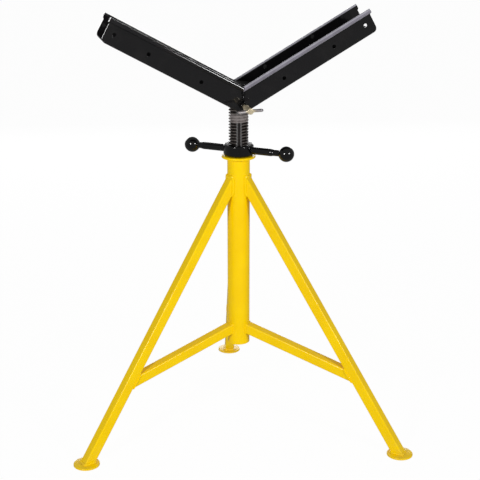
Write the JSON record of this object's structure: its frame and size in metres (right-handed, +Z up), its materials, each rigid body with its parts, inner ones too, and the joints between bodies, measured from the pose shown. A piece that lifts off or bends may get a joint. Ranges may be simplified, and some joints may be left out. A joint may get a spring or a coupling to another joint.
{
  "type": "pipe jack stand",
  "caption": "Welded tripod stand with a centre tube, a keyed jack screw raised by a handled nut, and a swivelling V head of rolled channel arms that cradles a pipe.",
  "frame": {"origin": "on the floor under the centre of the bounding box; the axis of the tube is at y = -0.097", "axes": "+Z up along the tube, +Y towards the back leg, +X towards the right leg"},
  "size_m": [0.7276, 0.6376, 0.9265],
  "materials": {
    "yellow_paint": "semi-gloss yellow paint",
    "black_paint": "gloss black paint",
    "oiled_steel": "dark oiled machined steel",
    "plain_steel": "plain turned steel",
    "yellow_brass": "cast brass"
  },
  "bodies": {
    "base": {"centre_tube": "yellow_paint", "top_flange": "yellow_paint", "guide_key": "plain_steel", "left_leg": "yellow_paint", "right_leg": "yellow_paint", "back_leg": "yellow_paint", "left_brace": "yellow_paint", "right_brace": "yellow_paint", "back_brace": "yellow_paint", "left_foot": "yellow_paint", "right_foot": "yellow_paint", "back_foot": "yellow_paint"},
    "nut": {"jack_nut": "black_paint", "left_handle_rod": "black_paint", "right_handle_rod": "black_paint", "left_ball_knob": "black_paint", "right_ball_knob": "black_paint"},
    "screw": {"jack_screw": "oiled_steel"},
    "head": {"left_arm": "black_paint", "right_arm": "black_paint", "socket_cup": "black_paint", "lock_boss": "black_paint"},
    "wing": {"wing_screw": "yellow_brass"}
  },
  "joints": [
    {"name": "nut_turn", "type": "hinge", "parent": "base", "child": "nut", "pos_m": [0, -0.097, 0.6347], "axis": [0, 0, 1], "range_deg": [-15860, 3060]},
    {"name": "screw_slide", "type": "slide", "parent": "base", "child": "screw", "axis": [0, 0, 1], "range_m": [-0.054, 0.28]},
    {"name": "head_swivel", "type": "hinge", "parent": "screw", "child": "head", "pos_m": [0, -0.097, 0.75], "axis": [0, 0, 1], "continuous": true},
    {"name": "wing_turn", "type": "hinge", "parent": "head", "child": "wing", "pos_m": [0.01248, -0.16181, 0.736], "axis": [0.1891, -0.982, 0], "range_deg": [0, 360]}
  ],
  "couplings": [
    {"joint": "screw_slide", "follows": "nut_turn", "m_per_rad": -0.0010106}
  ]
}
